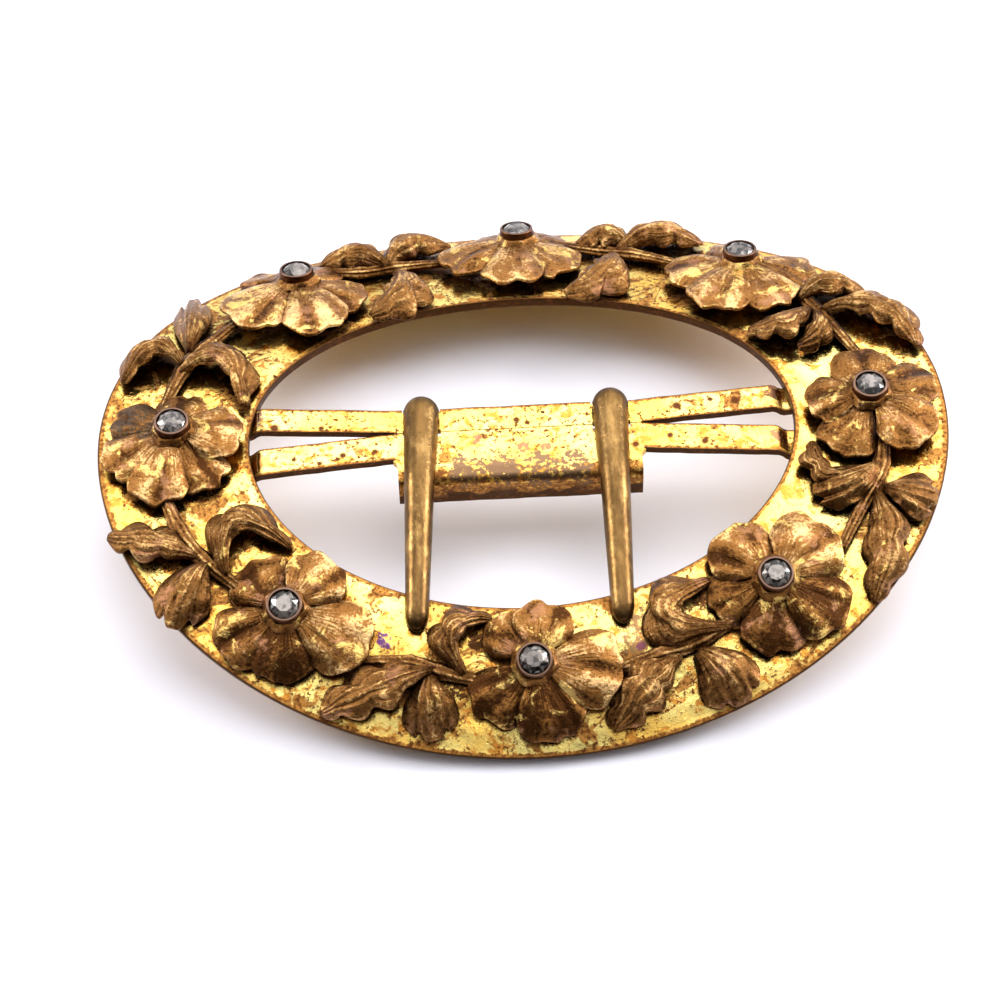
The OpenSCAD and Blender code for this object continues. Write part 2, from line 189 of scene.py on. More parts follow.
class Finish:
    """A material under construction: a principled shader and the nodes that feed it."""

    def __init__(self, name, metallic, roughness):
        self.material = bpy.data.materials.new(name)
        self.material.use_nodes = True
        self.tree = self.material.node_tree
        self.shader = self.tree.nodes["Principled BSDF"]
        self.shader.inputs["Metallic"].default_value = metallic
        self.shader.inputs["Roughness"].default_value = roughness
        self.place = self.tree.nodes.new("ShaderNodeTexCoord").outputs["Object"]

    def link(self, source, target):
        self.tree.links.new(source, target)
        return source

    def noise(self, size, detail, roughness, distortion=0.0, stretch=(1, 1, 1)):
        """Cloudy noise from 0 to 1 whose patches are about that many millimetres wide."""
        shift = self.tree.nodes.new("ShaderNodeMapping")
        shift.inputs["Scale"].default_value = stretch
        self.link(self.place, shift.inputs["Vector"])
        return self.cloud(shift.outputs["Vector"], 1 / (size * MM), detail, roughness, distortion)

    def cloud(self, place, scale, detail, roughness, distortion=0.0):
        texture = self.tree.nodes.new("ShaderNodeTexNoise")
        texture.inputs["Scale"].default_value = scale
        texture.inputs["Detail"].default_value = detail
        texture.inputs["Roughness"].default_value = roughness
        texture.inputs["Distortion"].default_value = distortion
        self.link(place, texture.inputs["Vector"])
        return texture.outputs["Fac"]

    def attribute(self, name):
        reader = self.tree.nodes.new("ShaderNodeAttribute")
        reader.attribute_name = name
        return reader.outputs["Fac"]

    def near(self, point, radius):
        """One at a point given in millimetres, falling to zero at a radius round it."""
        span = self.tree.nodes.new("ShaderNodeVectorMath")
        span.operation = "DISTANCE"
        span.inputs[1].default_value = Vector(point) * MM
        self.link(self.place, span.inputs[0])
        return self.step(span.outputs["Value"], radius * MM, 0.35 * radius * MM)

    def patch(self, point, radius, patches, specks):
        """One in a ragged patch round a point given in millimetres."""
        ragged = self.maths("ADD", self.near(point, radius), self.maths("MULTIPLY", patches, 2.4))
        ragged = self.maths("ADD", ragged, self.maths("MULTIPLY", specks, 2.6))
        return self.maths("MULTIPLY", self.step(ragged, 3.2, 3.5), self.near(point, 1.6 * radius))

    def step(self, source, low, high):
        """Maps low to 0 and high to 1, clamped; low may be the larger of the two."""
        band = self.tree.nodes.new("ShaderNodeMapRange")
        band.interpolation_type = "SMOOTHSTEP"
        band.inputs["From Min"].default_value = min(low, high)
        band.inputs["From Max"].default_value = max(low, high)
        band.inputs["To Min"].default_value = 0.0 if low < high else 1.0
        band.inputs["To Max"].default_value = 1.0 if low < high else 0.0
        self.link(source, band.inputs["Value"])
        return band.outputs["Result"]

    def maths(self, operation, first, second):
        node = self.tree.nodes.new("ShaderNodeMath")
        node.operation = operation
        for socket, value in zip(node.inputs, (first, second)):
            if isinstance(value, (int, float)):
                socket.default_value = value
            else:
                self.link(value, socket)
        return node.outputs["Value"]

    def blend(self, amount, first, second):
        """Mixes two colours, each a colour tuple or a socket, by an amount from 0 to 1."""
        mix = self.tree.nodes.new("ShaderNodeMix")
        mix.data_type = "RGBA"
        self.link(amount, mix.inputs["Factor"])
        for index, value in ((6, first), (7, second)):
            if isinstance(value, tuple):
                mix.inputs[index].default_value = (*value, 1)
            else:
                self.link(value, mix.inputs[index])
        return mix.outputs[2]

    def streaks(self, along, across):
        """Noise drawn out along a pressed sheet, as many waves each way as the two numbers."""
        place = self.tree.nodes.new("ShaderNodeCombineXYZ")
        self.link(self.maths("MULTIPLY", self.attribute("along"), along), place.inputs["X"])
        self.link(self.maths("MULTIPLY", self.attribute("across"), across), place.inputs["Y"])
        return self.cloud(place.outputs["Vector"], 1.0, 3.0, 0.6)

    def outline(self, source, level, width):
        """One along the lines where the source has that level."""
        away = self.maths("ABSOLUTE", self.maths("SUBTRACT", source, level), 0.0)
        return self.step(away, width, 0.4 * width)

    def crevices(self, reach, low=0.25, high=0.9):
        """One in the open, zero in a fold or under an edge; the other way round if low is the larger."""
        shade = self.tree.nodes.new("ShaderNodeAmbientOcclusion")
        shade.samples = 3
        shade.inputs["Distance"].default_value = reach * MM
        return self.step(shade.outputs["AO"], low, high)

    def bump(self, height, depth):
        """Adds a height map whose full range is that many millimetres deep."""
        node = self.tree.nodes.new("ShaderNodeBump")
        node.inputs["Strength"].default_value = 1.0
        node.inputs["Distance"].default_value = depth * MM
        self.link(height, node.inputs["Height"])
        if self.shader.inputs["Normal"].links:
            self.link(self.shader.inputs["Normal"].links[0].from_socket, node.inputs["Normal"])
        self.link(node.outputs["Normal"], self.shader.inputs["Normal"])

    def colour(self, socket):
        self.link(socket, self.shader.inputs["Base Color"])

    def gloss(self, socket, low, high):
        """Sets the roughness, which runs from low to high as the source runs from 0 to 1."""
        band = self.tree.nodes.new("ShaderNodeMapRange")
        band.inputs["To Min"].default_value = low
        band.inputs["To Max"].default_value = high
        self.link(socket, band.inputs["Value"])
        self.link(band.outputs["Result"], self.shader.inputs["Roughness"])


def gilt_material(name, worn_from, worn_to, pits, stains_and_shade, lit_spots=()):
    """Worn gilding: lemon gold, rubbed to brown in patches and along the edges, with pits and stains; shade
    is painted near black on edge walls, in crevices and in some patches, and light is painted where the
    gilding is kept unworn.
    """
    amber, lemon, rust = (0.96, 0.58, 0.11), (0.98, 0.79, 0.25), (0.62, 0.26, 0.04)
    # The wall colour below is painted shade on the sheets' edge walls and the bar's lip, and the dark joint
    # along the bar's seam.
    bare_light, bare_dark, wall = (0.50, 0.23, 0.052), (0.22, 0.085, 0.02), (0.07, 0.03, 0.01)
    speck, pit, crevice_shade = (0.14, 0.05, 0.015), (0.09, 0.03, 0.01), (0.07, 0.027, 0.008)
    gilt = Finish(name, metallic=1.0, roughness=0.2)
    relief = gilt.attribute("relief")
    tone = gilt.noise(9, 4, 0.6)
    base = gilt.blend(gilt.step(tone, 0.38, 0.62), amber, lemon)
    mottle = gilt.noise(1.4, 5, 0.65, 0.5)
    base = gilt.blend(gilt.step(mottle, 0.50, 0.61), base, rust)
    patches = gilt.noise(4.2, 8, 0.68, 0.9)
    # Painted light: round these spots the wear is held back, so the right of the plate is painted brighter,
    # as if lit.
    for place, radius in lit_spots:
        patches = gilt.maths("SUBTRACT", patches, gilt.maths("MULTIPLY", gilt.near(place, radius), 0.14))
    worn = gilt.step(patches, worn_from, worn_to)
    specks = gilt.noise(0.42, 4, 0.7)
    edge = gilt.maths("ADD", relief, gilt.maths("MULTIPLY", specks, 0.9))
    rubbed = gilt.maths("MAXIMUM", worn, gilt.step(edge, 0.94, 1.06))
    bare = gilt.blend(gilt.step(specks, 0.42, 0.58), bare_light, bare_dark)
    base = gilt.blend(rubbed, base, bare)
    # Painted shade: where the relief is high, on the sheets' cut edge walls and the bar's turned-down lip,
    # the brass is painted near black; along the bar's seam this is the dark joint.
    base = gilt.blend(gilt.step(relief, 0.80, 0.93), base, wall)
    specked = gilt.maths("MULTIPLY", gilt.step(specks, 0.55, 0.59), gilt.step(patches, 0.41, 0.50))
    base = gilt.blend(specked, base, speck)
    pitted = gilt.step(gilt.noise(1.3, 2, 0.5), 0.74, 0.77)
    for place, radius in pits:
        pitted = gilt.maths("MAXIMUM", pitted, gilt.near(place, radius))
    base = gilt.blend(pitted, base, pit)
    # Some of these patches are real stains and some are painted shade, dark where hollows and tucked ends
    # lie in shade.
    for place, radius, colour in stains_and_shade:
        base = gilt.blend(gilt.patch(place, radius, patches, specks), base, colour)
    # Painted shade: the gold is darkened to near black in crevices and close under other parts.
    base = gilt.blend(gilt.crevices(2.8, 0.68, 0.26), base, crevice_shade)
    gilt.colour(base)
    dull = gilt.maths("MAXIMUM", gilt.step(specks, 0.5, 0.8), gilt.step(relief, 0.1, 0.6))
    gilt.gloss(gilt.maths("MAXIMUM", rubbed, dull), 0.14, 0.46)
    gilt.bump(gilt.noise(6, 2, 0.5), 0.40)
    gilt.bump(gilt.noise(1.6, 4, 0.6), 0.06)
    gilt.bump(gilt.maths("SUBTRACT", specks, pitted), 0.018)
    return gilt.material


plate = bmesh.new()
outer = bmesh.ops.create_circle(plate, segments=oval_points, radius=0.5)["verts"]
bmesh.ops.scale(plate, vec=(plate_l, plate_w, 1), verts=outer)
inner = bmesh.ops.create_circle(plate, segments=oval_points, radius=0.5)["verts"]
bmesh.ops.scale(plate, vec=(opening_l, opening_w, 1), verts=inner)
bmesh.ops.translate(plate, vec=(opening_x, opening_s, 0), verts=inner)
bmesh.ops.bridge_loops(plate, edges=plate.edges[:])
rungs = [e for e in plate.edges if len({v in set(outer) for v in e.verts}) == 2]
bmesh.ops.subdivide_edges(plate, edges=rungs, cuts=oval_rings, use_grid_fill=True)
plate_rim = plate.verts.layers.float.new("relief")
for v in plate.verts:
    x, s = v.co.x, v.co.y
    dent = dent_h * ripple((x, s, 0), 7) + flaw_h * ripple((x, s, 1), 2.5)
    v.co = on_face(x, s, dent - 0.03)
    outside = 1 - math.hypot(2 * x / plate_l, 2 * s / plate_w)
    inside = math.hypot(2 * (x - opening_x) / opening_l, 2 * (s - opening_s) / opening_w) - 1
    v[plate_rim] = ease(outer_rim, 0.0, outside) + ease(inner_rim, 0.0, inside)
bmesh.ops.recalc_face_normals(plate, faces=plate.faces[:])
if plate.faces[0].normal.z < 0:
    bmesh.ops.reverse_faces(plate, faces=plate.faces[:])
bmesh.ops.solidify(plate, geom=plate.faces[:], thickness=sheet_t)

# Painted shade: the colour of the dark patches painted on the plate in the hollows under the leaves' curled
# ends.
hollow_shade = (0.07, 0.028, 0.01)
# Stains on the plate, and patches of painted shade in the hollows under the leaves' curled ends, as x, s,
# radius and colour; then spots where the gilding is kept bright as painted light, as x, s and radius
plate_stains_and_shade = ((8.7, -22.0, 3.2, (0.30, 0.17, 0.07)), (-14.15, -21.3, 1.3, (0.12, 0.05, 0.15)),
                (8.89, -23.35, 0.7, (0.20, 0.07, 0.09)), (-36.85, 1.16, 2.4, (0.22, 0.15, 0.10)),
                (-24.9, -10.9, 1.6, hollow_shade), (-5.9, -21.9, 1.5, hollow_shade),
                (-7.9, -26.6, 1.3, hollow_shade), (14.9, -19.6, 1.6, hollow_shade))
plate_lit_spots = ((29.5, -1.5, 11.0), (30.0, 6.5, 6.0), (24.5, -13.0, 6.0))
plate_gilt = gilt_material("gilt_plate", 0.515, 0.58, (),
                           [(on_face(x, s, 0), radius, colour) for x, s, radius, colour in plate_stains_and_shade],
                           [(on_face(x, s, 0), radius) for x, s, radius in plate_lit_spots])
plate_piece = fit_piece(plate, "bent_plate", "frame", plate_gilt, "frame")
round_edges(plate_piece, 0.14, 3)


# The cross bar: 0.7 mm gilt sheet brass, two strips that part towards the ends and meet along a soldered
# seam in the middle, where the lower one widens to a flap with its front edge folded down. The ends step
# down and are soldered under the plate, and the upper strip has two narrow necks for the tongues.
bar_t = 0.7
bar_top = crest - 0.1
bar_skew = math.radians(-1.2)
bar_x = -0.5
bar_reach = 29.0
joggle_x = 24.2
joggle_l = 1.1
tab_top = crest - sheet_t + 0.05
flap_x = 11.4
flap_y = -5.0
fold_r = 0.9
lip_h = 2.6
seam_y = -0.1
seam_w = 0.05
seam_dip = 0.22
fillet_r = 0.9
tongue_x = (-9.05, 8.8)
neck_half = 1.8
neck_y = (0.2, 2.35)
# A neck's edges as parts of the upper strip's width, and its slot's end as a part of the lower strip's
neck_from, neck_to, slot_to = 0.11, 0.904, 0.142
# The strips' long edges, each as x and y of its corners from the middle outwards
upper_far = ((11, 2.65), (25, 3.75), (29, 4.0))
upper_near = ((11, seam_y + seam_w), (25, 1.0), (29, 1.3))
lower_far = ((11.6, seam_y - seam_w), (25, -1.3), (29, -1.5))
lower_near = ((12, -3.2), (25, -4.35), (29, -4.6))


def on_bar(point):
    """A point of the bar's own frame, which is turned a little and shifted on the plate."""
    return Matrix.Rotation(bar_skew, 3, "Z") @ Vector(point) + Vector((bar_x, 0, 0))


def along(rows, x):
    """The value at x of a line given by its corners, level before the first of them."""
    if x <= rows[0][0]:
        return rows[0][1]
    for (x0, y0), (x1, y1) in zip(rows, rows[1:]):
        if x <= x1:
            return y0 + (y1 - y0) * (x - x0) / (x1 - x0)
    return rows[-1][1]


def stations(stops, step):
    """Places from the first stop to the last, through every stop, no more than a step apart."""
    places = [stops[0]]
    for start, end in zip(stops, stops[1:]):
        parts = math.ceil((end - start) / step - 1e-6)
        places += [start + (end - start) * k / parts for k in range(1, parts + 1)]
    return places


def surface_layers(bm):
    """The three values that a material reads at each point: relief, and the place along and across."""
    layers = bm.verts.layers.float
    names = ("relief", "along", "across")
    for name in names:
        if name not in layers:
            layers.new(name)
    # Looked up after all three are made, because making one moves the others
    return [layers[name] for name in names]


def sheet(bm, columns, rows, place, shift=0.0):
    """A grid of that many faces each way; place(u, v), from 0 to 1, gives each point and its relief."""
    relief, along_it, across_it = surface_layers(bm)
    points = bmesh.ops.create_grid(bm, x_segments=columns, y_segments=rows, size=0.5)["verts"]
    for v in points:
        u, w = v.co.x + 0.5, v.co.y + 0.5
        v[along_it] = u
        v[across_it] = w + shift
        v.co, v[relief] = place(u, w)


necks = [x + side * neck_half for x in tongue_x for side in (-1, 1)]
flap_end = flap_x + fillet_r + 0.1
columns = stations([-bar_reach, -joggle_x - joggle_l, -joggle_x, -flap_end, -flap_x, *necks,
                    flap_x, flap_end, joggle_x, joggle_x + joggle_l, bar_reach], 0.4)
upper_rows = stations([0.0, neck_from, neck_to, 1.0], 0.13)
lower_rows = stations([0.0, slot_to, 1.0], 0.12)
flap_rows = stations([0.0, 1.0], 0.08)
fold_rows = 6
lip_rows = 4
lanes = [("upper", f) for f in upper_rows] + [("seam", 0.5)] + [("lower", f) for f in lower_rows]
lanes += [("flap", f) for f in flap_rows[1:]]
lanes += [("fold", k / fold_rows) for k in range(1, fold_rows + 1)]
lanes += [("lip", k / lip_rows) for k in range(1, lip_rows + 1)]
lanes.reverse()


def bar_point(u, v):
    """A point of the bar's upper face and its relief there, from its place in the grid: wear at the edges,
    the dark seam, and painted shade on the lip.
    """
    x = columns[round(u * (len(columns) - 1))]
    lane, f = lanes[round(v * (len(lanes) - 1))]
    reach = abs(x)
    z = bar_top + (tab_top - bar_top) * ease(joggle_x, joggle_x + joggle_l, reach)
    far, near = along(upper_far, reach), along(upper_near, reach)
    low_far, low_near = along(lower_far, reach), along(lower_near, reach)
    rim = 0.0
    if lane == "upper":
        y = far + (near - far) * f
        rim = max(1 - (far - y) / 0.55, 1 - (y - near) / 0.5 if reach > flap_x else 0)
    elif lane == "seam":
        y, rim = seam_y, 1.0
        z -= seam_dip
    elif lane == "lower":
        y = low_far + (low_near - low_far) * f
        rim = max(1 - (y - low_near) / 0.7, 1 - (low_far - y) / 0.4) if reach > flap_x else 0
    else:
        y = low_near + (flap_y - low_near) * f if lane == "flap" else flap_y
        inward = max(0.0, 1 - (low_near - y) / fillet_r)
        x += math.copysign(fillet_r * (1 - math.sqrt(1 - inward * inward)), x) * (reach / flap_x) ** 12
        rim = 0.62 * ease(-3.7, -4.9, y)
    if lane == "fold":
        turn = f * math.pi / 2
        y -= fold_r * math.sin(turn)
        z -= fold_r * (1 - math.cos(turn))
    elif lane == "lip":
        y -= fold_r
        z -= fold_r + (lip_h - fold_r) * f
        # Painted shade: the lip's relief is set high so that its brass is painted near black.
        rim = 0.78 + 0.2 * f
    uneven = dent_h * ripple((x, y, z), 3.0) + flaw_h * ripple((x, y, z), 1.1)
    return on_bar((x, y + 0.5 * uneven, z + uneven)), max(0.0, rim)


def bar_hole(x, lane, f):
    """Whether there is no metal between this place along the bar and the row there."""
    reach = abs(x)
    beyond_flap = reach > flap_x
    if lane in ("flap", "fold", "lip"):
        return beyond_flap
    in_neck = any(abs(x - place) < neck_half for place in tongue_x)
    if lane == "seam":
        return beyond_flap or in_neck
    if lane == "upper":
        return in_neck and (f < neck_from or f > neck_to)
    return in_neck and f < slot_to


bar = bmesh.new()
sheet(bar, len(columns) - 1, len(lanes) - 1, lambda u, v: (Vector((u, v, 0)), 0.0))
holes = []
for face in bar.faces:
    middle = face.calc_center_median()
    x = columns[int(middle.x * (len(columns) - 1))] + 0.01
    row = int(middle.y * (len(lanes) - 1))
    (lane, f), (lane_next, f_next) = lanes[row + 1], lanes[row]
    if "seam" in (lane, lane_next):
        between = "seam"
    elif lane != lane_next:
        between = lane_next
    else:
        between = lane
    middle_f = f_next / 2 if lane != lane_next else (f + f_next) / 2
    if bar_hole(x, between, middle_f):
        holes.append(face)
bmesh.ops.delete(bar, geom=holes, context="FACES")
bar_relief = bar.verts.layers.float["relief"]
for v in bar.verts:
    v.co, v[bar_relief] = bar_point(v.co.x, v.co.y)
bmesh.ops.solidify(bar, geom=bar.faces[:], thickness=bar_t)
bar_brown = (0.36, 0.17, 0.08)
bar_grey = (0.20, 0.115, 0.06)
# The pits and stains that stand out in the photograph, as x, y and radius
bar_pits = ((-22.9, 1.3, 0.65), (-18.5, 1.0, 0.4), (-16.5, -2.4, 0.5), (-17.0, -2.8, 0.35),
            (-13.5, -2.1, 0.45), (-21.1, -2.6, 0.35), (-18.7, -3.2, 0.35), (-0.1, 0.9, 0.5),
            (0.9, 0.5, 0.4), (15.1, 1.7, 0.7), (20.7, 2.0, 0.65), (18.3, 2.3, 0.4),
            (17.4, -2.7, 0.55), (14.2, -1.8, 0.45), (10.9, -2.7, 0.5))
flap_stains = [(on_bar((x, -4.8, bar_top - 0.2)), 3.0, bar_grey) for x in (-4.8, -1.6, 1.9, 5.2)]
# Stains on the strips, as x, y, radius and colour; the dark one at the right end of the upper strip, where
# it steps down under the plate, is painted shade.
bar_stains_and_shade = ((0.4, -2.4, 1.1, bar_brown), (2.5, -2.5, 0.9, bar_brown), (-4.0, -1.2, 0.8, bar_brown),
              (-24.3, -2.6, 1.8, (0.80, 0.42, 0.12)), (24.4, 3.0, 1.9, (0.16, 0.07, 0.035)),
              (24.6, -2.4, 1.7, bar_brown), (-24.6, 2.6, 1.4, (0.34, 0.18, 0.12)))
strip_stains_and_shade = [(on_bar((x, y, bar_top)), radius, colour) for x, y, radius, colour in bar_stains_and_shade]
bar_gilt = gilt_material("gilt_bar", 0.575, 0.645,
                         [(on_bar((x, y, bar_top)), radius) for x, y, radius in bar_pits],
                         flap_stains + strip_stains_and_shade)
bar_piece = fit_piece(bar, "bar_sheet", "frame", bar_gilt, "frame")
round_edges(bar_piece, 0.12, 3)


# The tongues: two tapered half-round rods of brass, each with a domed head over an eye that turns on a neck
# of the bar. They were filed from rod, bent down where they leave the bar, and end over the plate's rim.
hinge_y = (neck_y[0] + neck_y[1]) / 2
hinge_z = bar_top - bar_t / 2
bore_r = math.hypot((neck_y[1] - neck_y[0]) / 2, bar_t / 2) + 0.05
eye_r = 1.75
eye_w = 2.2
back_z = bar_t / 2 + 0.05
back_h = 0.25
hollow_r = bore_r + 0.09
head_r = 1.7
head_y = 0.575
waist_r = 1.42
waist_l = 7.1
tip_r = 1.08
tip_l = 2.0
tongue_l = 22.3
tongue_lean = (math.radians(-3.1), math.radians(-0.9))
tongue_slope = (math.radians(10.5), math.radians(11.0))


def tongue_point(place, turn, slope):
    """A point of the rod at a place from its head to its tip, turned round its middle line."""
    level = waist_l + head_y
    sloped = (tongue_l - waist_l) / math.cos(slope) - tip_l
    crowded = place - 0.85 * math.sin(2 * math.pi * place) / (2 * math.pi)
    d = -head_r + (level + sloped + tip_l + head_r) * crowded
    if d < 0:
        r = math.sqrt(max(0.0, head_r ** 2 - d * d))
    elif d < level:
        r = head_r + (waist_r - head_r) * d / level
    elif d < level + sloped:
        r = waist_r + (tip_r - waist_r) * (d - level) / sloped
    else:
        r = tip_r * math.sqrt(max(0.0, 1 - ((d - level - sloped) / tip_l) ** 2))
    across = r * math.cos(turn)
    over = max(-back_h, r * math.sin(turn)) + back_h
    past = d - level
    if past < 0:
        y = head_y - d
        over_neck = math.sqrt(max(0.0, hollow_r ** 2 - y * y))
        return Vector((across, y, max(over_neck, back_z + over)))
    y = -past * math.cos(slope) - over * math.sin(slope)
    z = -past * math.sin(slope) + over * math.cos(slope)
    return Vector((across, y - waist_l, back_z + z))


def tongue_material():
    """Brass with its gilding gone: a satin olive brown, brighter where it was rubbed."""
    dark, olive = (0.095, 0.05, 0.017), (0.19, 0.104, 0.033)
    bright, speck = (0.34, 0.20, 0.068), (0.10, 0.055, 0.02)
    brass = Finish("olive_brass", metallic=1.0, roughness=0.42)
    tone = brass.noise(3.0, 4, 0.6, stretch=(1.6, 0.5, 1))
    base = brass.blend(brass.step(tone, 0.35, 0.65), dark, olive)
    rubbed = brass.step(brass.noise(2.0, 6, 0.7, stretch=(1.4, 0.5, 1)), 0.48, 0.68)
    base = brass.blend(rubbed, base, bright)
    grain = brass.noise(0.3, 3, 0.7)
    base = brass.blend(brass.step(grain, 0.58, 0.75), base, speck)
    brass.colour(base)
    brass.gloss(grain, 0.22, 0.46)
    brass.bump(grain, 0.03)
    brass.bump(brass.noise(1.5, 3, 0.6), 0.07)
    return brass.material


tongue_brass = tongue_material()
for side_name, place_x, lean, slope in zip(("left", "right"), tongue_x, tongue_lean, tongue_slope):
    tongue = bmesh.new()
    bmesh.ops.create_cone(tongue, cap_ends=True, segments=40, radius1=1, radius2=1, depth=1)
    runs = [e for e in tongue.edges if abs(e.verts[0].co.z - e.verts[1].co.z) > 0.5]
    bmesh.ops.subdivide_edges(tongue, edges=runs, cuts=79, use_grid_fill=True)
    for v in tongue.verts:
        v.co = tongue_point(0.5 - v.co.z, math.atan2(v.co.y, v.co.x), slope)
    bmesh.ops.remove_doubles(tongue, verts=tongue.verts[:], dist=0.002)
    bmesh.ops.rotate(tongue, matrix=Matrix.Rotation(lean, 3, "Z"), verts=tongue.verts)
    corners = [tongue.verts.new((side * eye_w / 2, 0, r)) for side, r in
               ((-1, bore_r), (1, bore_r), (1, eye_r), (-1, eye_r))]
    ring = [tongue.edges.new((corners[k], corners[(k + 1) % 4])) for k in range(4)]
    bmesh.ops.spin(tongue, geom=corners + ring, axis=(1, 0, 0), angle=2 * math.pi, steps=48, use_merge=True)
    bmesh.ops.recalc_face_normals(tongue, faces=tongue.faces[:])
    for v in tongue.verts:
        v.co = on_bar(v.co + Vector((place_x, hinge_y, hinge_z)))
    body = f"{side_name}_tongue"
    piece = fit_piece(tongue, f"{side_name}_tongue_rod", body, tongue_brass, body)
    round_edges(piece, 0.1, 2)


# The flowers: eight, each pressed from sheet brass as broad ribbed petals that lie over each other round a
# ruffled heart. One rivet stem through the heart holds a flower to the plate. The brass is matt and brown.
petal_t = 0.42
root_r = 0.9
heart_r = 2.5
flower_h = 2.35
# For each flower, clockwise from the left end, its petals, the top one last. A petal's row is turn, reach,
# half angle, lift and painted light (below zero the petal is painted darker as shade, above zero brighter
# as light).
flowers = (
    ((80, 5.6, 44, -0.35, -0.2), (150, 6.4, 40, -0.2, -0.3), (-152, 7.3, 36, -0.05, 0.3),
     (-58, 7.2, 34, -0.1, 0.0), (-106, 7.9, 36, 0.15, 0.3), (-6, 6.6, 48, 0.35, 0.3)),
    ((150, 6.4, 42, -0.4, 0.0), (62, 6.2, 42, -0.35, 0.0), (-22, 7.2, 38, -0.1, 0.0),
     (-140, 8.5, 42, 0.1, 0.5), (-72, 8.5, 38, 0.3, 0.5)),
    ((130, 5.8, 44, -0.4, -0.2), (35, 5.8, 44, -0.35, 0.0), (-42, 7.4, 40, -0.1, 0.3),
     (-158, 8.4, 34, 0.1, 0.1), (-98, 8.0, 38, 0.3, 0.4)),
    ((95, 6.0, 42, -0.4, 0.0), (-8, 7.5, 40, -0.15, 0.0), (-178, 7.4, 40, 0.0, 0.3),
     (-64, 8.0, 36, 0.1, 0.4), (-118, 8.3, 38, 0.3, 0.4)),
    ((88, 6.6, 48, -0.3, 0.0), (-122, 7.0, 40, -0.2, -0.2), (16, 6.9, 40, 0.05, -0.2),
     (180, 6.0, 46, 0.2, 0.0), (-48, 7.4, 42, 0.3, 0.1)),
    ((-162, 6.4, 42, -0.35, -0.3), (-95, 7.0, 42, -0.1, -0.9), (133, 6.8, 48, 0.05, -0.1),
     (-34, 7.5, 42, 0.15, -0.6), (42, 7.5, 51, 0.35, 0.4)),
    ((124, 5.8, 44, -0.35, -0.2), (-142, 6.9, 42, -0.12, -1.0), (-76, 7.4, 42, 0.05, -1.0),
     (-8, 8.2, 44, 0.2, 0.4), (72, 6.0, 46, 0.38, -0.1)),
    ((124, 6.2, 52, -0.4, -0.4), (-154, 7.1, 42, -0.2, -0.4), (-96, 6.7, 42, 0.0, -1.2),
     (-30, 8.6, 40, 0.2, 0.4), (44, 6.5, 46, 0.38, 0.2)),
)


def seat(stone):
    """Where a flower's stem stands on the bend, taken from its packed stone: x and s."""
    low, high = part_box(stone)
    middle = (low + high) / 2
    return middle.x, bend_r * math.atan2(middle.y, middle.z - crest + bend_r)


def on_flower(x, s, turn, r, h):
    """A point at a turn and radius round a flower's stem, on the plane that touches the plate there."""
    lean = Matrix.Rotation(-s / bend_r, 3, "X")
    return lean @ Vector((r * math.cos(turn), r * math.sin(turn), h)) + on_face(x, s, 0)


def petal(bm, x, s, row, seed):
    """One petal from its row of the table, creased, pleated and finely ribbed, with a turned-up rim."""
    turn, reach, spread, lift, painted_light = row
    rnd = random.Random(seed)
    wave, notch, crease = rnd.uniform(0, 6.28), rnd.uniform(-0.7, 0.7), rnd.uniform(-0.4, 0.4)
    tip_drop = rnd.uniform(0.5, 0.8)

    def place(u, v):
        side = 2 * v - 1
        end = reach * (1 - 0.20 * side ** 2 - 0.27 * side ** 6)
        end *= 1 + 0.022 * math.sin(3.1 * math.pi * side + wave) + 0.03 * ripple((4 * side, seed, 0), 0.8)
        end -= 0.35 * math.exp(-((side - notch) / 0.08) ** 2)
        r = root_r + (end - root_r) * u
        angle = math.radians(turn) + math.radians(spread) * side * (0.84 + 0.16 * u)
        spot = (r * math.cos(angle), r * math.sin(angle), x + s)
        fold = math.exp(-((side - crease - 0.1 * math.sin(3 * u + wave)) / 0.13) ** 2) * ease(0.15, 0.5, u)
        pleats = math.cos(2.6 * math.pi * side + wave + u) * ease(0.25, 0.8, u)
        fine = abs(math.cos(6.5 * math.pi * (side + 0.12 * ripple(spot, 2, seed)))) ** 0.5 - 0.7
        fine *= ease(0.05, 0.25, u) * ease(0.85, 0.45, u)
        side_rim = math.exp(-((abs(side) - 0.97) / 0.035) ** 2) * ease(0.3, 0.6, u)
        rim = math.exp(-((u - 0.97) / 0.03) ** 2) + side_rim
        h = flower_h - 0.12 + 0.3 * lift + 0.22 * math.sin(math.pi * u) - tip_drop * u ** 3
        h += (1.15 * lift - 0.30) * ease(0.08, 0.45, u)
        h -= 0.42 * abs(side) ** 3 * (0.35 + 0.65 * u)
        h += 0.09 * pleats + 0.08 * fine - 0.14 * fold + 0.09 * rim + 0.20 * ripple(spot, 2.8, seed)
        bend = (r * math.sin(angle)) ** 2 / (2 * bend_r)
        h = max(petal_t + 0.12 + bend, h)
        # Painted light and shade: the row's painted light, lighter ridges and darker grooves on the pleats
        # and ribs, a darker crease and a lighter rim.
        shade = painted_light + 0.5 * pleats + 0.8 * fine - 0.9 * fold + 0.6 * rim
        return on_flower(x, s, angle, r, h - bend), shade

    sheet(bm, 28, 34, place, seed)


def heart(bm, x, s, seed):
    """The raised middle of a flower, gently ruffled round its edge."""
    rnd = random.Random(seed)
    phase = rnd.uniform(0, 6.28)

    def place(u, v):
        turn = 2 * math.pi * v
        ruffle = 0.5 + 0.5 * math.cos(5 * turn + phase) * math.cos(2 * turn + phase)
        r = (heart_r - 0.4 + 0.4 * ruffle) * u
        h = flower_h + 0.14 + 0.38 * ease(0.56, 0.70, u) - (0.85 - 0.3 * ruffle) * ease(0.74, 1.0, u)
        # Painted light and shade: lighter on the ruffle's crests and darker in the dips.
        return on_flower(x, s, turn, r, h), 0.9 * ruffle - 0.5

    sheet(bm, 14, 60, place, seed)


